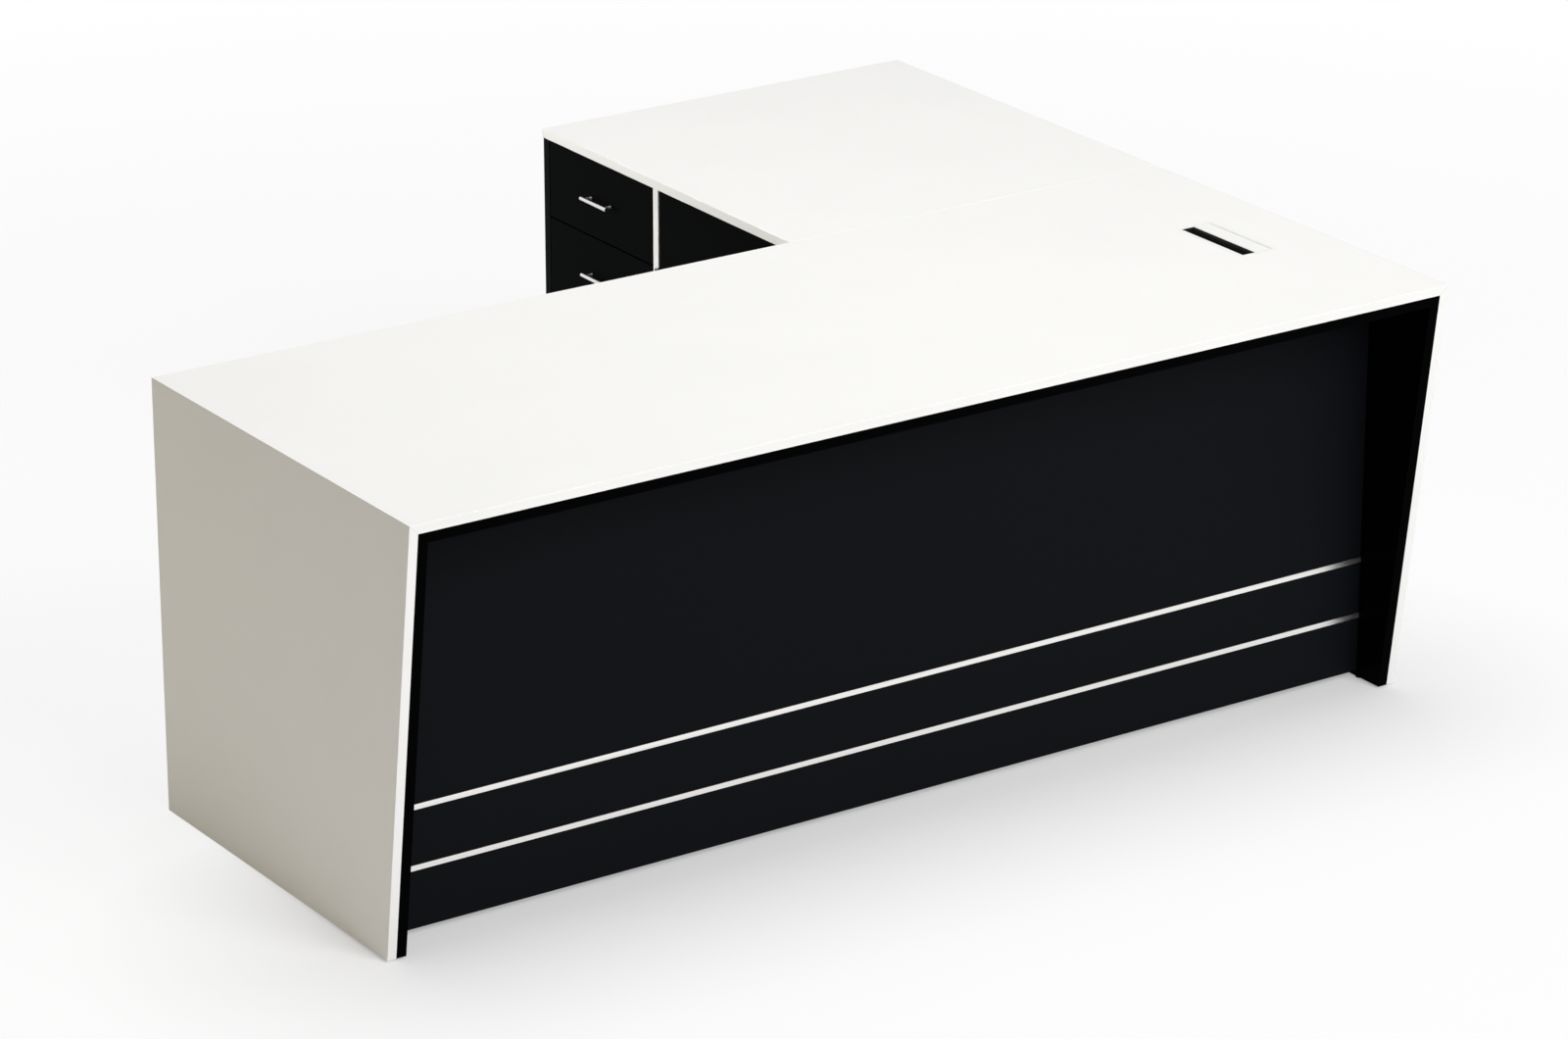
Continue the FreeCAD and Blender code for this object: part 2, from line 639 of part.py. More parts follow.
PANEL_FITTINGS = {
    "low": (
        "((panel_floor_gap + lower_strip_height) / 2)",
        "((lower_strip_height + upper_strip_height) / 2)",
    ),
    "high": (f"({UNDER_SUB} - dowel_margin)", f"({UNDER_SUB} - dowel_margin - cam_offset)"),
}
for side, plane, sign in (("left", LEFT_INNER, "-"), ("right", RIGHT_INNER, "+")):
    liner = f"{side}_liner"
    for level, (dowel_z, cam_z) in PANEL_FITTINGS.items():
        dowel(f"{side}_{level}_dowel", plane, sign, None, PANEL_MIDDLE, dowel_z, liner, "front_panel")
        cam(f"{side}_{level}", plane, sign, None, cam_z, liner)
for number in (-1, 0, 1):
    x = f"({number} * dowel_spacing)"
    name = f"top_{number + 2}"
    dowel(f"{name}_dowel", UNDER_SUB, "+", x, PANEL_MIDDLE, None, "sub_top", "front_panel")
    cam(name, UNDER_SUB, "+", f"{x} + cam_offset", None, "sub_top")
UPRIGHT_SPOTS = (f"({FACE} + end_margin)", f"({RIGHT_LINER} - end_margin)")
for label, y in UPRIGHTS.items():
    for number, x in enumerate(UPRIGHT_SPOTS, 1):
        dowel(f"{label}_{number}_dowel", UNDER_TOP, "+", x, halfway(y), None, "return_top", label)
for bay, shift, plane, sign, label in (
    ("door_bay", "0", NEAR_INNER, "-", "return_near_panel"),
    ("door_bay", "0", DIVIDER_NEAR, "+", "return_divider"),
    ("drawer_bay", "floor_dowel_step", DIVIDER_FAR, "-", "return_divider"),
    ("drawer_bay", "floor_dowel_step", FAR_INNER, "+", "return_far_panel"),
):
    for number, (x, step) in enumerate(zip(UPRIGHT_SPOTS, "+-"), 1):
        name = f"{bay}_{label}_{number}_dowel"
        dowel(name, plane, sign, f"{x} {step} {shift}", None, FLOOR_MIDDLE, label, f"{bay}_floor")

JOIN_Z = f"({UNDER_SUB} + liner_board / 2)"
JOIN_TIP = f"({BACK} - joining_screw_bite)"
JOIN_LOW = f"({FACE} + joining_margin)"
JOIN_HIGH = f"({RIGHT_INNER} - joining_margin)"
for number in range(3):
    x = f"({JOIN_LOW} + ({JOIN_HIGH} - {JOIN_LOW}) * {number} / 2)"
    name = f"joining_screw_{number + 1}"
    shank = rod(f"{name}_shank", "joining_screw_radius", x, (JOIN_TIP, NEAR_INNER), JOIN_Z)
    head = rod(f"{name}_head", "joining_head_radius", x, (NEAR_INNER, f"{NEAR_INNER} + joining_head"), JOIN_Z)
    add("joining_screws", fuse(name, [shank, head]))
    wide = "joining_screw_radius + fitting_clearance"
    drill("return_near_panel", rod(f"{name}_panel_hole", wide, x, (BACK, NEAR_INNER), JOIN_Z))
    drill("sub_top", rod(f"{name}_top_hole", wide, x, (f"{JOIN_TIP} - hole_spare", BACK), JOIN_Z))

PIN_Z = "(shelf_height - pin_plate)"
for label, plane, sign in (("return_near_panel", NEAR_INNER, "-"), ("return_divider", DIVIDER_NEAR, "+")):
    for number, x in enumerate((f"({SHELF_X[0]} + pin_margin)", f"({SHELF_X[1]} - pin_margin)"), 1):
        name = f"shelf_pin_{label}_{number}"
        pin = rod(f"{name}_pin", "pin_radius", x, across(plane, sign, "pin_bite", "pin_reach"), PIN_Z)
        plate_x = (f"{x} - pin_reach / 2", f"{x} + pin_reach / 2")
        plate_y = across(plane, sign, "0", "pin_reach")
        plate = block(f"{name}_plate", plate_x, plate_y, (PIN_Z, "shelf_height"))
        add("shelf_pins", fuse(name, [pin, plate]))
        hole = across(plane, sign, "pin_bite", "0")
        drill(label, rod(f"{name}_hole", "pin_radius + fitting_clearance", x, hole, PIN_Z))

# Nail-in glides under the liners and the return's uprights

LINER_SPOTS = (f"({FRONT} + foot_setback + glide_margin)", f"({BACK} - glide_margin)")
glide_places = [
    (label, f"({low} + liner_board / 2)", y)
    for label, low in (("left_liner", LEFT_LINER), ("right_liner", RIGHT_INNER))
    for y in LINER_SPOTS
]
glide_places += [
    (label, x, halfway(y))
    for label, y in UPRIGHTS.items()
    for x in (f"({FACE} + glide_margin)", f"({RIGHT_LINER} - glide_margin)")
]
for number, (label, x, y) in enumerate(glide_places, 1):
    name = f"glide_{number}"
    pad = rod(f"{name}_pad", "glide_radius", x, y, ("0", "glide_height"))
    nail = rod(f"{name}_nail", "glide_nail_radius", x, y, ("glide_height", "glide_height + glide_nail"))
    add("glides", fuse(name, [pad, nail]))
    nail_hole = ("glide_height", "glide_height + glide_nail + hole_spare")
    drill(label, rod(f"{name}_hole", "glide_nail_radius + fitting_clearance", x, y, nail_hole))

# The finished pieces: each blank with its holes, and each group of like pieces

pieces = []
for label, blank in blanks.items():
    piece = cut(f"{label}_piece", blank, cuts[label]) if label in cuts else blank
    piece.Label = label
    pieces.append(piece)
for label, solids in groups.items():
    piece = doc.addObject("Part::Compound", f"{label}_group")
    piece.Links = solids
    piece.Label = label
    pieces.append(piece)
doc.recompute()

for thing in doc.Objects:
    if "Invalid" in thing.State or "Error" in thing.State:
        raise RuntimeError(f"{thing.Name} failed: {thing.State}")
for piece in pieces:
    if piece.Shape.isNull() or not piece.Shape.isValid() or not piece.Shape.Solids:
        raise RuntimeError(f"{piece.Label} has no valid solid")

os.makedirs("parts", exist_ok=True)
for piece in pieces:
    piece.Shape.exportStep(os.path.join("parts", f"{piece.Label}.step"))
    print(piece.Label, len(piece.Shape.Solids), round(piece.Shape.Volume))
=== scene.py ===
import json
import math

import bmesh
import bpy
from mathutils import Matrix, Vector


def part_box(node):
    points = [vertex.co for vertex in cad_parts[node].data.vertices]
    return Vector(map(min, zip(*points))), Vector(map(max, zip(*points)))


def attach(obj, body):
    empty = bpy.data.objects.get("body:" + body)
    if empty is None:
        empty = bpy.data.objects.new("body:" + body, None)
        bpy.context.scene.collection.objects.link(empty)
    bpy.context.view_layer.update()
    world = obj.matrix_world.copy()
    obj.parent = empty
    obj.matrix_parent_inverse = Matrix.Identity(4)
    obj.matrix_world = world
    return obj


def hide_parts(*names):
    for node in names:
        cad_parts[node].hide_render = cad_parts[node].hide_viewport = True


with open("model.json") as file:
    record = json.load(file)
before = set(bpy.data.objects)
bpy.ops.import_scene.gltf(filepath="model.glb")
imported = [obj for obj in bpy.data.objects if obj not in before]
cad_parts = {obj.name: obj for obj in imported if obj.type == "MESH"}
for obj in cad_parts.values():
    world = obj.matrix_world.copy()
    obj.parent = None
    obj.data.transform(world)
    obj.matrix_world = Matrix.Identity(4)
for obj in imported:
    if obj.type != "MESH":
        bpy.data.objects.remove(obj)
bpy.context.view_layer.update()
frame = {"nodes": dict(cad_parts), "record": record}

NODES = frame["nodes"]
DRAWERS = ["top_drawer", "second_drawer", "third_drawer", "file_drawer"]
LINING_BOARDS = ["left_liner", "right_liner", "sub_top"]
MM = 0.001
X, Y, Z = Vector((1, 0, 0)), Vector((0, 1, 0)), Vector((0, 0, 1))


# Node helpers

# The colour sockets of a Mix node share their names with others, so they go by number
MIX_MASK, MIX_FIRST, MIX_SECOND, MIX_RESULT = 0, 6, 7, 2
FULL = (0.0, 1.0)


def put(tree, kind, inputs=None, **settings):
    """Adds a node with its settings, and gives each named input a value or a link."""
    made = tree.nodes.new(f"ShaderNode{kind}")
    for name, value in settings.items():
        setattr(made, name, value)
    for name, value in (inputs or {}).items():
        if isinstance(value, bpy.types.NodeSocket):
            tree.links.new(value, made.inputs[name])
        else:
            made.inputs[name].default_value = value
    return made


def blend_colour(tree, mask, first, second):
    """The first colour where the mask is 0 and the second where it is 1."""
    inputs = {MIX_MASK: mask, MIX_FIRST: first, MIX_SECOND: second}
    return put(tree, "Mix", inputs, data_type="RGBA").outputs[MIX_RESULT]


def stretch_range(tree, value, span, new_span):
    """Carries a value from one span of numbers over to another, and stops at its ends."""
    ends = {"From Min": span[0], "From Max": span[1], "To Min": new_span[0], "To Max": new_span[1]}
    return put(tree, "MapRange", {"Value": value, **ends}).outputs["Result"]


def new_group(name, inputs, outputs):
    """An empty node group with named inputs and plain number outputs."""
    tree = bpy.data.node_groups.new(name, "ShaderNodeTree")
    for label, kind, value in inputs:
        tree.interface.new_socket(label, in_out="INPUT", socket_type=kind).default_value = value
    for label in outputs:
        tree.interface.new_socket(label, in_out="OUTPUT", socket_type="NodeSocketFloat")
    return tree, tree.nodes.new("NodeGroupInput"), tree.nodes.new("NodeGroupOutput")


def use_group(tree, group, **inputs):
    """Places a node group with its own values."""
    return put(tree, "Group", inputs, node_tree=group)


# Surface effects that several finishes share

ARRIS_SAMPLES, ARRIS_TURN = 6, (0.985, 0.8)


def make_press_plate():
    """The fine peel of a pressed or moulded surface, with slow patches and small flecks of sheen."""
    tree, start, end = new_group(
        "press_plate", [("Grain", "NodeSocketFloat", 900.0)], ["Height", "Patch", "Fleck"]
    )
    place = put(tree, "TexCoord").outputs["Object"]
    peel = put(tree, "TexNoise", {"Vector": place, "Scale": start.outputs["Grain"], "Detail": 2.0})
    patch = put(tree, "TexNoise", {"Vector": place, "Scale": 5.0, "Detail": 3.0, "Roughness": 0.55})
    fleck = put(tree, "TexNoise", {"Vector": place, "Scale": 160.0, "Detail": 4.0, "Roughness": 0.7})
    for name, node in (("Height", peel), ("Patch", patch), ("Fleck", fleck)):
        tree.links.new(node.outputs[0], end.inputs[name])
    return tree


def make_arris_line():
    """A mask along every arris of a board, where the edge band meets the face: a dark seam on the pale
    boards, a painted highlight on the black ones.
    """
    tree, start, end = new_group("arris_line", [("Reach", "NodeSocketFloat", MM)], ["Mask"])
    rounded = put(tree, "Bevel", {"Radius": start.outputs["Reach"]}, samples=ARRIS_SAMPLES)
    flat = put(tree, "NewGeometry").outputs["Normal"]
    turn = put(tree, "VectorMath", {0: rounded.outputs[0], 1: flat}, operation="DOT_PRODUCT")
    mask = stretch_range(tree, turn.outputs["Value"], ARRIS_TURN, FULL)
    tree.links.new(mask, end.inputs["Mask"])
    return tree


def make_drawn_lines():
    """The fine lines of drawn or brushed metal: the stretch is small along the lines."""
    tree, start, end = new_group(
        "drawn_lines", [("Stretch", "NodeSocketVector", (1.0, 1.0, 1.0))], ["Height", "Streak"]
    )
    place = put(tree, "TexCoord").outputs["Object"]
    spread = put(tree, "VectorMath", {0: place, 1: start.outputs["Stretch"]}, operation="MULTIPLY")
    for name, scale, detail in (("Height", 1.0, 4.0), ("Streak", 0.22, 2.0)):
        lines = put(tree, "TexNoise", {"Vector": spread.outputs[0], "Scale": scale, "Detail": detail})
        tree.links.new(lines.outputs[0], end.inputs[name])
    return tree


PRESS_PLATE = make_press_plate()
ARRIS_LINE = make_arris_line()
DRAWN_LINES = make_drawn_lines()


# Finishes, one for each material slot, and three copies of the black board with light and shade painted in:
# lighter and glossier on the front panel, almost no sheen on the drawer fronts and door, near black on the
# liners and sub-top under the top

NOISE_SPREAD, FLECK_SPREAD = (0.3, 0.7), (0.25, 0.75)
BOARD_ARRIS, BOARD_RELIEF, PATCH_TONE = 1.2 * MM, 0.35, 0.985
METAL_RELIEF, STREAK_TONE = 0.4, 0.9
MOULDED_ARRIS, MOULDED_RELIEF, RUBBED_SHARE = 0.6 * MM, 0.5, 0.35


def new_finish(name, **constants):
    """A material whose shader has these plain values, with _ for the spaces in their names."""
    finish = bpy.data.materials.new(name)
    finish.use_nodes = True
    shader = finish.node_tree.nodes["Principled BSDF"]
    for label, value in constants.items():
        shader.inputs[label.replace("_", " ")].default_value = value
    return finish, finish.node_tree, shader


def relief(tree, shader, height, strength, depth):
    """Gives the shader a bump of that depth."""
    bump = put(tree, "Bump", {"Height": height, "Strength": strength, "Distance": depth})
    tree.links.new(bump.outputs[0], shader.inputs["Normal"])


def tone(colour, share=1.0):
    """A share of a colour, as a shader takes it."""
    return tuple(part * share for part in colour) + (1.0,)


def board_finish(name, colour, line, line_share, gloss, grain, depth, **constants):
    """A melamine board: even colour with faint patches, a line along each arris that is a dark seam on pale
    boards and a painted highlight on black ones, a fine peel.
    """
    finish, tree, shader = new_finish(name, **constants)
    plate = use_group(tree, PRESS_PLATE, Grain=grain)
    edge = use_group(tree, ARRIS_LINE, Reach=BOARD_ARRIS)
    patch = stretch_range(tree, plate.outputs["Patch"], NOISE_SPREAD, FULL)
    face = blend_colour(tree, patch, tone(colour), tone(colour, PATCH_TONE))
    faint = stretch_range(tree, edge.outputs["Mask"], FULL, (0.0, line_share))
    tree.links.new(blend_colour(tree, faint, face, tone(line)), shader.inputs["Base Color"])
    sheen = stretch_range(tree, plate.outputs["Fleck"], FLECK_SPREAD, gloss)
    tree.links.new(sheen, shader.inputs["Roughness"])
    relief(tree, shader, plate.outputs["Height"], BOARD_RELIEF, depth)
    return finish


def metal_finish(name, colour, stretch, gloss, depth):
    """Drawn or brushed metal: fine lines that change its tone, gloss and relief."""
    finish, tree, shader = new_finish(name, Metallic=1.0)
    lines = use_group(tree, DRAWN_LINES, Stretch=stretch)
    streak = stretch_range(tree, lines.outputs["Streak"], NOISE_SPREAD, FULL)
    shades = blend_colour(tree, streak, tone(colour), tone(colour, STREAK_TONE))
    tree.links.new(shades, shader.inputs["Base Color"])
    sheen = stretch_range(tree, lines.outputs["Height"], NOISE_SPREAD, gloss)
    tree.links.new(sheen, shader.inputs["Roughness"])
    relief(tree, shader, lines.outputs["Height"], METAL_RELIEF, depth)
    return finish


def moulded_finish(name, colour, worn, gloss, grain, depth, **constants):
    """Moulded plastic or powder coat: a spark-eroded peel, rubbed lighter at the arrises."""
    finish, tree, shader = new_finish(name, **constants)
    plate = use_group(tree, PRESS_PLATE, Grain=grain)
    edge = use_group(tree, ARRIS_LINE, Reach=MOULDED_ARRIS)
    rubbed = stretch_range(tree, edge.outputs["Mask"], FULL, (0.0, RUBBED_SHARE))
    tree.links.new(blend_colour(tree, rubbed, tone(colour), tone(worn)), shader.inputs["Base Color"])
    sheen = stretch_range(tree, plate.outputs["Patch"], NOISE_SPREAD, gloss)
    tree.links.new(sheen, shader.inputs["Roughness"])
    relief(tree, shader, plate.outputs["Height"], MOULDED_RELIEF, depth)
    return finish


def zinc_finish(name, light, dark, gloss, crystals, strength, depth):
    """Bright zinc plate with its small crystals."""
    finish, tree, shader = new_finish(name, Metallic=1.0)
    place = put(tree, "TexCoord").outputs["Object"]
    crystal = put(tree, "TexVoronoi", {"Vector": place, "Scale": crystals})
    grey = stretch_range(tree, crystal.outputs["Color"], FULL, FULL)
    tree.links.new(blend_colour(tree, grey, tone(light), tone(dark)), shader.inputs["Base Color"])
    tree.links.new(stretch_range(tree, grey, FULL, gloss), shader.inputs["Roughness"])
    relief(tree, shader, grey, strength, depth)
    return finish


def beech_finish(name, light, dark, gloss, stretch, ray_spread, strength, depth):
    """Fluted beech with short dark rays."""
    finish, tree, shader = new_finish(name)
    place = put(tree, "TexCoord").outputs["Object"]
    along = put(tree, "Mapping", {"Vector": place, "Scale": stretch})
    rays = put(tree, "TexNoise", {"Vector": along.outputs[0], "Scale": 1.0, "Detail": 4.0})
    ray = stretch_range(tree, rays.outputs[0], ray_spread, FULL)
    tree.links.new(blend_colour(tree, ray, tone(light), tone(dark)), shader.inputs["Base Color"])
    tree.links.new(stretch_range(tree, ray, FULL, gloss), shader.inputs["Roughness"])
    relief(tree, shader, ray, strength, depth)
    return finish


BLACK_BOARD = {"gloss": (0.42, 0.54), "grain": 700.0, "depth": 0.08 * MM}
BOARDS = {
    "white_laminate": {
        "colour": (0.90, 0.893, 0.874), "line": (0.50, 0.48, 0.44), "line_share": 0.55,
        "gloss": (0.50, 0.60), "grain": 900.0, "depth": 0.05 * MM, "Specular_IOR_Level": 0.2,
    },
    # On the black boards the line colour is lighter than the face: a painted highlight along each arris.
    "black_laminate": {
        "colour": (0.0026, 0.0030, 0.0034), "line": (0.012, 0.013, 0.014), "line_share": 0.35,
        "Specular_IOR_Level": 0.014, **BLACK_BOARD,
    },
    # Painted light: the front panel's copy of the black board is lighter and glossier than the rest.
    "black_panel_painted_light": {
        "colour": (0.0048, 0.0054, 0.0068), "line": (0.014, 0.015, 0.017), "line_share": 0.35,
        "Specular_IOR_Level": 0.03, **BLACK_BOARD,
    },
    # Painted shade: the drawer fronts and door get a copy of the black board with almost no sheen, so they
    # read darker; their stronger, lighter arris line is a painted highlight.
    "black_front_painted_shade": {
        "colour": (0.0034, 0.0037, 0.0040), "line": (0.028, 0.029, 0.031), "line_share": 0.6,
        "Specular_IOR_Level": 0.003, **BLACK_BOARD,
    },
    # Painted shade: the liners and sub-top under the top get a near black copy of the black board, darker
    # than the other black boards.
    "black_lining_painted_shade": {
        "colour": (0.0008, 0.0009, 0.0010), "line": (0.005, 0.0055, 0.006), "line_share": 0.35,
        "Specular_IOR_Level": 0.005, **BLACK_BOARD,
    },
    "drawer_board": {
        "colour": (0.55, 0.55, 0.54), "line": (0.30, 0.29, 0.28), "line_share": 0.5,
        "gloss": (0.46, 0.58), "grain": 1100.0, "depth": 0.05 * MM, "Specular_IOR_Level": 0.35,
    },
    "drawer_base_board": {
        "colour": (0.46, 0.46, 0.45), "line": (0.20, 0.15, 0.10), "line_share": 0.8,
        "gloss": (0.52, 0.66), "grain": 500.0, "depth": 0.08 * MM, "Specular_IOR_Level": 0.3,
    },
}
METALS = {
    "trim_aluminium": {
        "colour": (0.97, 0.96, 0.93), "stretch": (6.0, 2400.0, 2400.0),
        "gloss": (0.26, 0.40), "depth": 0.02 * MM,
    },
    "handle_steel": {
        "colour": (0.80, 0.80, 0.79), "stretch": (2600.0, 60.0, 60.0),
        "gloss": (0.20, 0.34), "depth": 0.02 * MM,
    },
    "zinc_die_cast": {
        "colour": (0.50, 0.50, 0.51), "stretch": (900.0, 900.0, 900.0),
        "gloss": (0.38, 0.55), "depth": 0.06 * MM,
    },
}
MOULDED = {
    "black_steel": {
        "colour": (0.014, 0.014, 0.015), "worn": (0.10, 0.10, 0.10), "gloss": (0.38, 0.5),
        "grain": 1500.0, "depth": 0.06 * MM, "Specular_IOR_Level": 0.4,
    },
    "white_plastic": {
        "colour": (0.86, 0.855, 0.835), "worn": (0.60, 0.59, 0.57), "gloss": (0.36, 0.46),
        "grain": 1600.0, "depth": 0.04 * MM, "Specular_IOR_Level": 0.4,
    },
    "black_plastic": {
        "colour": (0.008, 0.008, 0.0085), "worn": (0.03, 0.03, 0.03), "gloss": (0.45, 0.6),
        "grain": 1300.0, "depth": 0.06 * MM, "Specular_IOR_Level": 0.25,
    },
    "brush_bristle": {
        "colour": (0.005, 0.005, 0.005), "worn": (0.012, 0.012, 0.012), "gloss": (0.6, 0.75),
        "grain": 2500.0, "depth": 0.02 * MM, "Specular_IOR_Level": 0.1,
    },
}
ZINC = {
    "light": (0.60, 0.62, 0.64), "dark": (0.48, 0.50, 0.53), "gloss": (0.28, 0.42),
    "crystals": 420.0, "strength": 0.1, "depth": 0.05 * MM,
}
BEECH = {
    "light": (0.55, 0.36, 0.20), "dark": (0.38, 0.22, 0.11), "gloss": (0.6, 0.75),
    "stretch": (90.0, 900.0, 900.0), "ray_spread": (0.45, 0.7), "strength": 0.2, "depth": 0.1 * MM,
}
FINISHES = {name: board_finish(name, **look) for name, look in BOARDS.items()}
FINISHES.update({name: metal_finish(name, **look) for name, look in METALS.items()})
FINISHES.update({name: moulded_finish(name, **look) for name, look in MOULDED.items()})
FINISHES["zinc_steel"] = zinc_finish("zinc_steel", **ZINC)
FINISHES["dowel_beech"] = beech_finish("dowel_beech", **BEECH)

# The nodes that take a copy with painted light and shade in place of their slot's finish.
LIT_AND_SHADED_COPY = {"front_panel": "black_panel_painted_light", "door": "black_front_painted_shade"}
LIT_AND_SHADED_COPY.update({f"{drawer}_front": "black_front_painted_shade" for drawer in DRAWERS})
LIT_AND_SHADED_COPY.update({board: "black_lining_painted_shade" for board in LINING_BOARDS})
for row in frame["record"]["subparts"]:
    finish = FINISHES[LIT_AND_SHADED_COPY.get(row["node"], row["material_slot"])]
    for place in NODES[row["node"]].material_slots:
        place.material = finish


# Modelling helpers

TINY = 1e-5
ROUND_STEPS, SMALL_STEPS = 3, 2
SMOOTH_ANGLE = math.radians(35)


def middle_of(node):
    low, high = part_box(node)
    return (low + high) / 2


def on_plane(axis, place):
    """A test for the points that lie on the plane at that place along the axis."""
    return lambda point: abs(point.dot(axis) - place) < TINY


def only(piece):
    """Selects one piece and nothing else."""
    bpy.ops.object.select_all(action="DESELECT")
    piece.select_set(True)
    bpy.context.view_layer.objects.active = piece


def settle(piece):
    """Puts a piece's place and turn into its mesh."""
    only(piece)
    bpy.ops.object.transform_apply(location=True, rotation=True, scale=True)
    return piece


def add_rod(radius, start, end, sides):
    """A round rod from one point to another, to be turned further."""
    bpy.ops.object.select_all(action="DESELECT")
    start, end = Vector(start), Vector(end)
    bpy.ops.mesh.primitive_cylinder_add(
        vertices=sides, radius=radius, depth=(end - start).length, location=(start + end) / 2,
        rotation=(end - start).to_track_quat("Z", "Y").to_euler(),
    )
    return settle(bpy.context.object)


def add_block(low, high):
    """A block between two corners, to be cut or shaped further."""
    bpy.ops.object.select_all(action="DESELECT")
    low, high = Vector(low), Vector(high)
    bpy.ops.mesh.primitive_cube_add(size=1.0, location=(low + high) / 2, scale=high - low)
    return settle(bpy.context.object)


def open_at(piece, kind, test):
    """Opens a piece for editing, with the faces, edges or points selected whose corners pass the test."""
    only(piece)
    bpy.ops.object.mode_set(mode="EDIT")
    bpy.ops.mesh.select_mode(type=kind)
    bpy.ops.mesh.select_all(action="DESELECT")
    form = bmesh.from_edit_mesh(piece.data)
    for part in {"FACE": form.faces, "EDGE": form.edges, "VERT": form.verts}[kind]:
        corners = [part] if kind == "VERT" else part.verts
        part.select_set(all(test(corner.co) for corner in corners))
    bmesh.update_edit_mesh(piece.data)


def close_edit():
    bpy.ops.object.mode_set(mode="OBJECT")


def ease_rim(piece, test, width, steps):
    """Rounds the edges whose two ends pass the test."""
    open_at(piece, "EDGE", test)
    bpy.ops.mesh.bevel(offset=width, segments=steps, affect="EDGES")
    close_edit()


def turn_on(piece, axis, centre, end, radius, steps):
    """Carries a rod's end face on along the axis, each step by a length and to a new radius."""
    open_at(piece, "FACE", on_plane(axis, end))
    for length, new_radius in steps:
        share = new_radius / radius
        bpy.ops.mesh.extrude_region_move(TRANSFORM_OT_translate={"value": axis * length})
        bpy.ops.transform.resize(
            value=[1.0 if round(part) else share for part in axis], center_override=centre
        )
        radius = new_radius
    close_edit()


def height_of(steps):
    """The whole length of a screw head's steps."""
    return sum(length for length, radius in steps)


def fuse(piece, other, operation):
    """Joins another solid to a piece or takes it away from it."""
    only(piece)
    change = piece.modifiers.new(operation.lower(), "BOOLEAN")
    change.operation = operation
    change.object = other
    change.solver = "EXACT"
    bpy.ops.object.modifier_apply(modifier=change.name)
    bpy.data.objects.remove(other, do_unlink=True)


def cut_cross(piece, face, axis, span, width, depth):
    """Sinks a cross recess into a screw's head."""
    for along in range(3):
        if not round(axis[along]):
            reach = Vector([depth if round(part) else width / 2 for part in axis])
            reach[along] = span / 2
            fuse(piece, add_block(Vector(face) - reach, Vector(face) + reach), "DIFFERENCE")


def copy_piece(piece, move):
    """A copy with its own mesh, moved from the first."""
    only(piece)
    bpy.ops.object.duplicate(linked=False)
    bpy.ops.transform.translate(value=move)
    return settle(bpy.context.object)


def swing(piece, turn, centre):
    """Turns a piece about a point."""
    piece.rotation_euler = turn
    piece.location = centre - piece.rotation_euler.to_matrix() @ centre
    return settle(piece)


def gather(pieces):
    """Makes one piece of several that belong together."""
    only(pieces[0])
    for piece in pieces:
        piece.select_set(True)
    bpy.ops.object.join()
    return bpy.context.object


def hand_over(piece, name, body, slot, *nodes):
    """Names a finished piece, gives it its finish and sets it on its body."""
    piece.name = piece.data.name = name
    only(piece)
    bpy.ops.object.shade_smooth_by_angle(angle=SMOOTH_ANGLE)
    piece.data.materials.clear()
    piece.data.materials.append(FINISHES[slot])
    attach(piece, body)
    if nodes:
        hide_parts(*nodes)


def repeat(piece, moves):
    """One piece of the first and a copy of it at each move."""
    return gather([piece] + [copy_piece(piece, move) for move in moves])


# Bar handles with their posts and screws

BAR_RADIUS, BAR_EASE, BAR_SIDES = 3.5 * MM, 0.9 * MM, 40
POST_RADIUS, POST_OFFSET, POST_SIDES = 2.6 * MM, 32.0 * MM, 32
FOOT_RADIUS, FOOT_HEIGHT, FOOT_SLOPE = 3.0 * MM, 1.2 * MM, 0.8 * MM
SHANK_RADIUS, PAN_RADIUS = 1.9 * MM, 4.0 * MM
PAN_HEAD = [(1.4 * MM, PAN_RADIUS), (0.7 * MM, 3.4 * MM), (0.3 * MM, 2.4 * MM)]
PAN_RECESS = {"span": 4.2 * MM, "width": 0.9 * MM, "depth": 1.3 * MM}
QUARTER_TURN = math.pi / 2


def model_post(x_bar, y, z, x_face, x_back):
    """A post from the bar to the front's face, and its screw through the front."""
    start = x_face - FOOT_HEIGHT - FOOT_SLOPE
    post = add_rod(POST_RADIUS, (x_bar, y, z), (start, y, z), POST_SIDES)
    steps = [
        (FOOT_SLOPE, FOOT_RADIUS), (FOOT_HEIGHT, FOOT_RADIUS), (0.0, SHANK_RADIUS),
        (x_back - x_face, SHANK_RADIUS), (0.0, PAN_RADIUS),
    ]
    turn_on(post, X, (start, y, z), start, POST_RADIUS, steps + PAN_HEAD)
    cut_cross(post, (x_back + height_of(PAN_HEAD), y, z), X, **PAN_RECESS)
    return post


def model_bar_handle():
    """The top drawer's handle, which the others copy."""
    low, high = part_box("top_drawer_handle")
    middle = middle_of("top_drawer_handle")
    face, back = (corner.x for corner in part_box("top_drawer_front"))
    x_bar = low.x + BAR_RADIUS
    bar = add_rod(BAR_RADIUS, (x_bar, low.y, middle.z), (x_bar, high.y, middle.z), BAR_SIDES)
    for end in (low.y, high.y):
        ease_rim(bar, on_plane(Y, end), BAR_EASE, ROUND_STEPS)
    for side in (-1, 1):
        fuse(bar, model_post(x_bar, middle.y + side * POST_OFFSET, middle.z, face, back), "UNION")
    return bar


top_bar = model_bar_handle()
top_middle = middle_of("top_drawer_handle")
for drawer in DRAWERS[1:]:
    bar = copy_piece(top_bar, middle_of(f"{drawer}_handle") - top_middle)
    hand_over(bar, f"{drawer}_bar", drawer, "handle_steel", f"{drawer}_handle")

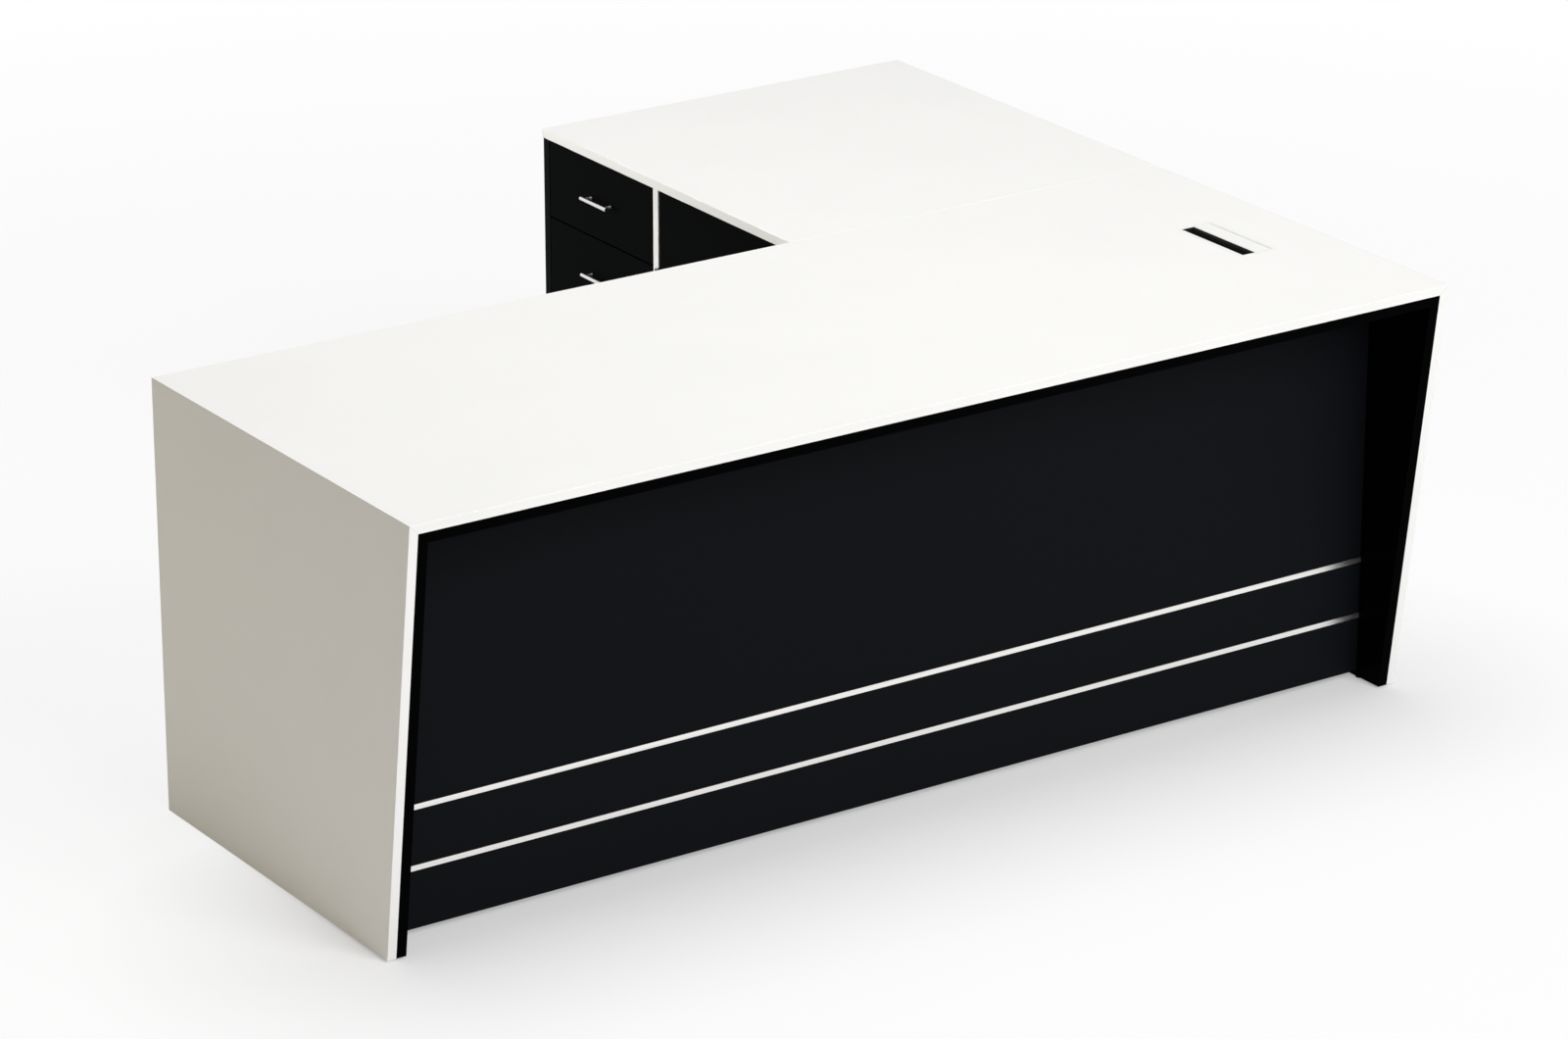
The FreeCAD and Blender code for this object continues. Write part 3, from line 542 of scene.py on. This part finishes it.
door_middle = middle_of("door_handle")
door_bar = copy_piece(top_bar, door_middle - top_middle)
swing(door_bar, (QUARTER_TURN, 0.0, 0.0), door_middle)
hand_over(door_bar, "door_bar", "door_leaf", "handle_steel", "door_handle")
hand_over(top_bar, "top_drawer_bar", "top_drawer", "handle_steel", "top_drawer_handle")


# Cam faces on the sitter's side of the front panel

CAM_RADIUS, CAM_EASE, CAM_SIDES = 7.5 * MM, 0.5 * MM, 48
RIM_WIDTH, DISH_SLOPE, DISH_DEPTH = 0.8 * MM, 0.3 * MM, 0.5 * MM
CAM_RECESS = {"span": 8.0 * MM, "width": 1.5 * MM, "depth": 3.0 * MM}
MARK_REACH, MARK_INSET = Vector((0.5, 1.0, 0.9)) * MM, 0.6 * MM
CAM_INSET, END_CAM_DROP = 34.0 * MM, 108.0 * MM
ROW_PITCH, ROW_SHIFT = 600.0 * MM, 48.0 * MM


def cam_places():
    """Two cams at each end of the front panel, and three in a row along its top."""
    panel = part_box("front_panel")[1]
    between_strips = (middle_of("lower_trim_strip").z + middle_of("upper_trim_strip").z) / 2
    places = []
    for z in (between_strips, panel.z - END_CAM_DROP):
        for side in (-1, 1):
            places.append(side * (panel.x - CAM_INSET) * X + z * Z)
    for step in (-1, 0, 1):
        places.append((step * ROW_PITCH + ROW_SHIFT) * X + (panel.z - CAM_INSET) * Z)
    return places


def model_cam(x, z):
    """A cast cam with a rim, a dished face, a cross recess and a mark that points the way it locks."""
    low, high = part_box("cam_locks")
    face = on_plane(Y, high.y)
    cam = add_rod(CAM_RADIUS, (x, low.y, z), (x, high.y, z), CAM_SIDES)
    ease_rim(cam, face, CAM_EASE, ROUND_STEPS)
    open_at(cam, "FACE", face)
    bpy.ops.mesh.inset(thickness=RIM_WIDTH, depth=0.0)
    bpy.ops.mesh.inset(thickness=DISH_SLOPE, depth=-DISH_DEPTH)
    close_edit()
    cut_cross(cam, (x, high.y - DISH_DEPTH, z), Y, **CAM_RECESS)
    mark = Vector((x, high.y, z + CAM_RADIUS - MARK_INSET))
    fuse(cam, add_block(mark - MARK_REACH, mark + MARK_REACH), "DIFFERENCE")
    return cam


first_cam, *other_cams = cam_places()
cams = repeat(model_cam(first_cam.x, first_cam.z), [place - first_cam for place in other_cams])
hand_over(cams, "cam_faces", "desk", "zinc_die_cast", "cam_locks")


# Screws that join the return to the main desk, and those of the hinges

SCREW_SIDES = 32
JOINING_RADIUS, JOINING_HEAD_RADIUS = 2.5 * MM, 5.0 * MM
POINT_LENGTH, POINT_RADIUS = 4.0 * MM, 0.2 * MM
JOINING_HEAD = [
    (0.0, JOINING_HEAD_RADIUS), (1.5 * MM, JOINING_HEAD_RADIUS), (0.9 * MM, 4.2 * MM), (0.6 * MM, 2.8 * MM),
]
JOINING_RECESS = {"span": 5.0 * MM, "width": 1.0 * MM, "depth": 1.7 * MM}
LEAF_THICKNESS, LEAF_LENGTH, LEAF_SCREW_PITCH = 1.5 * MM, 60.0 * MM, 20.0 * MM
DOME_RADIUS, DOME_SINK = 3.2 * MM, 0.3 * MM
DOME_HEAD = [(0.1 * MM, 3.1 * MM), (0.12 * MM, 2.5 * MM), (0.08 * MM, 1.6 * MM)]
DOME_RECESS = {"span": 3.2 * MM, "width": 0.7 * MM, "depth": 0.45 * MM}


def model_joining_screw(x):
    """A pan-head screw with its point."""
    low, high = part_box("joining_screws")
    z = middle_of("joining_screws").z
    seat = high.y - height_of(JOINING_HEAD)
    shoulder = low.y + POINT_LENGTH
    screw = add_rod(JOINING_RADIUS, (x, shoulder, z), (x, seat, z), SCREW_SIDES)
    turn_on(screw, Y, (x, seat, z), seat, JOINING_RADIUS, JOINING_HEAD)
    turn_on(screw, -Y, (x, low.y, z), -shoulder, JOINING_RADIUS, [(POINT_LENGTH, POINT_RADIUS)])
    cut_cross(screw, (x, high.y, z), Y, **JOINING_RECESS)
    return screw


def model_hinge_screws(name, body, leaf, facing):
    """Raised countersunk heads on the faces of one set of hinge leaves."""
    low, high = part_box("hinge_fixed_leaves")
    x = (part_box("return_divider")[0].x + high.x) / 2
    leaf_middles = (low.z + LEAF_LENGTH / 2, high.z - LEAF_LENGTH / 2)
    first, *others = [z + step * LEAF_SCREW_PITCH for z in leaf_middles for step in (-1, 0, 1)]
    axis = Y * facing
    screw = add_rod(DOME_RADIUS, (x, leaf - DOME_SINK * facing, first), (x, leaf, first), SCREW_SIDES)
    turn_on(screw, axis, (x, leaf, first), leaf * facing, DOME_RADIUS, DOME_HEAD)
    cut_cross(screw, (x, leaf + height_of(DOME_HEAD) * facing, first), axis, **DOME_RECESS)
    hand_over(repeat(screw, [(z - first) * Z for z in others]), name, body, "zinc_steel")


joining_x = [
    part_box("joining_screws")[0].x + JOINING_HEAD_RADIUS,
    middle_of("joining_screws").x,
    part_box("joining_screws")[1].x - JOINING_HEAD_RADIUS,
]
joining_set = repeat(model_joining_screw(joining_x[0]), [(x - joining_x[0]) * X for x in joining_x[1:]])
hand_over(joining_set, "joining_screw_set", "desk", "zinc_steel", "joining_screws")
model_hinge_screws("hinge_fixed_screws", "desk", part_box("return_divider")[0].y - LEAF_THICKNESS, -1)
model_hinge_screws("hinge_door_screws", "door_leaf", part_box("door")[1].y + LEAF_THICKNESS, 1)


# Cable brush: two channels of bristles that point at each other, in a thin trim

TRIM_WALL, TRIM_RISE, TRIM_EASE, HOLE_MARGIN = 0.7 * MM, 3.0 * MM, 0.2 * MM, 1.0 * MM
TRIM_INSET = TRIM_WALL * (X + Y)
CHANNEL_WIDTH, CHANNEL_LIP, CHANNEL_DEPTH, CHANNEL_EASE = 3.2 * MM, 1.1 * MM, 1.4 * MM, 0.3 * MM
BRISTLE_REACH, BRISTLE_ROOT, BRISTLE_RADIUS, BRISTLE_SIDES = 10.0 * MM, 1.6 * MM, 0.32 * MM, 5
BRISTLE_PITCH, BRISTLE_LAYERS, LAYER_PITCH = 0.55 * MM, 4, 1.3 * MM
ROW_START, ROW_MARGIN = 1.5 * MM, 4.0 * MM
TIP_SPREAD, TIP_SEED = 0.7 * MM, 7


def model_slot_trim():
    """A thin wall round the slot, from under the bristles to just below the top."""
    low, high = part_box("cable_port_brush")
    high = high + TRIM_RISE * Z
    trim = add_block(low, high)
    hole = add_block(low + TRIM_INSET - HOLE_MARGIN * Z, high - TRIM_INSET + HOLE_MARGIN * Z)
    fuse(trim, hole, "DIFFERENCE")
    ease_rim(trim, on_plane(Z, high.z), TRIM_EASE, SMALL_STEPS)
    hand_over(trim, "slot_trim", "desk", "black_plastic")


def model_bristles(root, tip, y, z, length):
    """Layers of bristles, one row on the other, whose tips stray a little."""
    bpy.ops.object.select_all(action="DESELECT")
    bpy.ops.mesh.primitive_cone_add(
        vertices=BRISTLE_SIDES, radius1=BRISTLE_RADIUS, radius2=0.0, depth=tip - root,
        location=((root + tip) / 2, y, z), rotation=(0.0, QUARTER_TURN, 0.0),
    )
    bristles = settle(bpy.context.object)
    row = (int(length / BRISTLE_PITCH), BRISTLE_PITCH * Y)
    layers = (BRISTLE_LAYERS, BRISTLE_PITCH / 2 * Y + LAYER_PITCH * Z)
    for count, step in (row, layers):
        copies = bristles.modifiers.new("copies", "ARRAY")
        copies.count = count
        copies.use_relative_offset = False
        copies.use_constant_offset = True
        copies.constant_offset_displace = step
        bpy.ops.object.modifier_apply(modifier=copies.name)
    open_at(bristles, "VERT", on_plane(X, tip))
    bpy.ops.transform.vertex_random(offset=TIP_SPREAD, seed=TIP_SEED)
    close_edit()
    return bristles


def model_brush():
    """A channel with its bristles, and a second one turned to face it."""
    low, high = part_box("cable_port_brush")
    middle = (low + high) / 2
    tip = low.x + BRISTLE_REACH - TIP_SPREAD
    low, high = low + TRIM_INSET, high - TRIM_INSET
    mouth = low.x + CHANNEL_WIDTH
    channel = add_block(low, (mouth, high.y, high.z))
    open_at(channel, "FACE", on_plane(X, mouth))
    bpy.ops.mesh.inset(thickness=CHANNEL_LIP, depth=0.0)
    bpy.ops.mesh.extrude_region_move(TRANSFORM_OT_translate={"value": -CHANNEL_DEPTH * X})
    close_edit()
    ease_rim(channel, on_plane(X, mouth), CHANNEL_EASE, SMALL_STEPS)
    lowest = middle.z - LAYER_PITCH * (BRISTLE_LAYERS - 1) / 2
    length = high.y - low.y - ROW_MARGIN
    bristles = model_bristles(mouth - BRISTLE_ROOT, tip, low.y + ROW_START, lowest, length)
    strip = gather([channel, bristles])
    other = swing(copy_piece(strip, (0.0, 0.0, 0.0)), (0.0, 0.0, math.pi), middle)
    hand_over(gather([strip, other]), "brush_strips", "desk", "brush_bristle", "cable_port_brush")


model_slot_trim()
model_brush()


# Floor, light and camera

PLAIN_WHITE = (1.0, 1.0, 1.0)
FLOOR_SIZE, FLOOR_DROP, FLOOR_GRAIN = 80.0, 0.5 * MM, 60.0
FLOOR_PALE, FLOOR_GREY = (0.93, 0.93, 0.935), (0.92, 0.92, 0.925)
FLOOR_LIFT, FLOOR_REACH = 0.82, (1.4, 4.5)
FOOT_LIFT, FOOT_REACH = 0.40, (0.04, 0.50)
DOME_STRENGTH = 0.15
OPEN_SPREAD = 180.0
CAMERA_PLACE = (-5.1081, -7.8505, 3.8678)
CAMERA_TURN, CAMERA_PITCH = math.radians(34.103), math.radians(20.874)
CAMERA_LENS, SENSOR_WIDTH, CAMERA_SIGHT = 135.32, 36.0, 200.0


def join_values(tree, operation, first, second):
    """Two values from 0 to 1 added or multiplied, and held to that range."""
    return put(tree, "Math", {0: first, 1: second}, operation=operation, use_clamp=True).outputs[0]


def seen_rays(tree):
    """1 for the rays by which the eye, metal or glass sees a surface, and 0 for those that light others."""
    path = put(tree, "LightPath")
    seen = path.outputs["Is Camera Ray"]
    for name in ("Is Glossy Ray", "Is Transmission Ray"):
        seen = join_values(tree, "ADD", seen, path.outputs[name])
    return seen


def floor_lift(tree):
    """How far the floor lifts to white: least along the front panel's foot, fully far away."""
    place = put(tree, "TexCoord").outputs["Object"]
    low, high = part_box("front_panel")
    foot_line = (low.x, high.x)
    across = put(tree, "SeparateXYZ", {0: place}).outputs["X"]
    along = stretch_range(tree, across, foot_line, foot_line)
    foot = put(tree, "CombineXYZ", {"X": along, "Y": low.y}).outputs[0]
    from_foot = put(tree, "VectorMath", {0: place, 1: foot}, operation="DISTANCE").outputs["Value"]
    from_middle = put(tree, "VectorMath", {0: place}, operation="LENGTH").outputs["Value"]
    near_lift = stretch_range(tree, from_foot, FOOT_REACH, (FOOT_LIFT, 1.0))
    far_lift = stretch_range(tree, from_middle, FLOOR_REACH, (FLOOR_LIFT, 1.0))
    return join_values(tree, "MULTIPLY", near_lift, far_lift)


def make_floor():
    """A pale floor; on seen rays a white glow is mixed over its shading, painted light that washes out the
    desk's shadow, least along the front panel's foot.
    """
    bpy.ops.object.select_all(action="DESELECT")
    bpy.ops.mesh.primitive_plane_add(size=FLOOR_SIZE, location=-FLOOR_DROP * Z)
    floor = bpy.context.object
    floor.name = "studio_floor"
    finish, tree, shader = new_finish("studio_floor", Specular_IOR_Level=0.1, Roughness=0.8)
    plate = use_group(tree, PRESS_PLATE, Grain=FLOOR_GRAIN)
    shade = blend_colour(tree, plate.outputs["Patch"], tone(FLOOR_PALE), tone(FLOOR_GREY))
    tree.links.new(shade, shader.inputs["Base Color"])
    seen = join_values(tree, "MULTIPLY", seen_rays(tree), floor_lift(tree))
    glow = put(tree, "Emission", {"Color": tone(PLAIN_WHITE), "Strength": 1.0})
    both = put(tree, "MixShader", {0: seen, 1: shader.outputs[0], 2: glow.outputs[0]})
    tree.links.new(both.outputs[0], tree.nodes["Material Output"].inputs["Surface"])
    floor.data.materials.append(finish)


def make_world():
    """A dim dome for the light, and plain white for what the eye and the metals see of it."""
    world = bpy.data.worlds.new("studio")
    world.use_nodes = True
    bpy.context.scene.world = world
    tree = world.node_tree
    backdrop = tree.nodes["Background"]
    backdrop.inputs["Color"].default_value = tone(PLAIN_WHITE)
    strength = stretch_range(tree, seen_rays(tree), FULL, (DOME_STRENGTH, 1.0))
    tree.links.new(strength, backdrop.inputs["Strength"])


def softbox(name, place, aim, size, watts, colour=PLAIN_WHITE, spread=OPEN_SPREAD, shown_in_gloss=True):
    """A square studio light that the camera doesn't see."""
    data = bpy.data.lights.new(name, "AREA")
    data.shape = "SQUARE"
    data.size = size
    data.energy = watts
    data.color = colour
    data.spread = math.radians(spread)
    box = bpy.data.objects.new(name, data)
    bpy.context.scene.collection.objects.link(box)
    box.location = place
    box.rotation_euler = (Vector(aim) - Vector(place)).to_track_quat("-Z", "Y").to_euler()
    box.visible_camera = False
    box.visible_glossy = shown_in_gloss


def make_camera():
    """The photograph's viewing angle, tipped down in place of a shift."""
    data = bpy.data.cameras.new("camera")
    data.sensor_width = SENSOR_WIDTH
    data.lens = CAMERA_LENS
    data.clip_end = CAMERA_SIGHT
    camera = bpy.data.objects.new("camera", data)
    bpy.context.scene.collection.objects.link(camera)
    camera.location = CAMERA_PLACE
    camera.rotation_euler = (QUARTER_TURN - CAMERA_PITCH, 0.0, -CAMERA_TURN)
    bpy.context.scene.camera = camera


make_floor()
make_world()
softbox("key", place=(1.2, -8.4, 5.6), aim=(0.0, -0.2, 0.3), size=5.0, watts=640.0, shown_in_gloss=False)
softbox("overhead", place=(0.2, 0.2, 5.2), aim=(0.2, 0.2, 0.0), size=4.4, watts=145.0)
softbox(
    "warm_card", place=(-4.0, 0.4, 0.6), aim=(-1.0, -0.2, 0.4), size=1.4, watts=7.8,
    colour=(1.0, 0.73, 0.14),
)
softbox(
    "sitter_card", place=(-1.6, 2.6, 0.62), aim=(0.22, 0.42, 0.45), size=1.0, watts=4.4,
    spread=40.0, shown_in_gloss=False,
)
make_camera()
bpy.context.scene.view_settings.view_transform = "Standard"
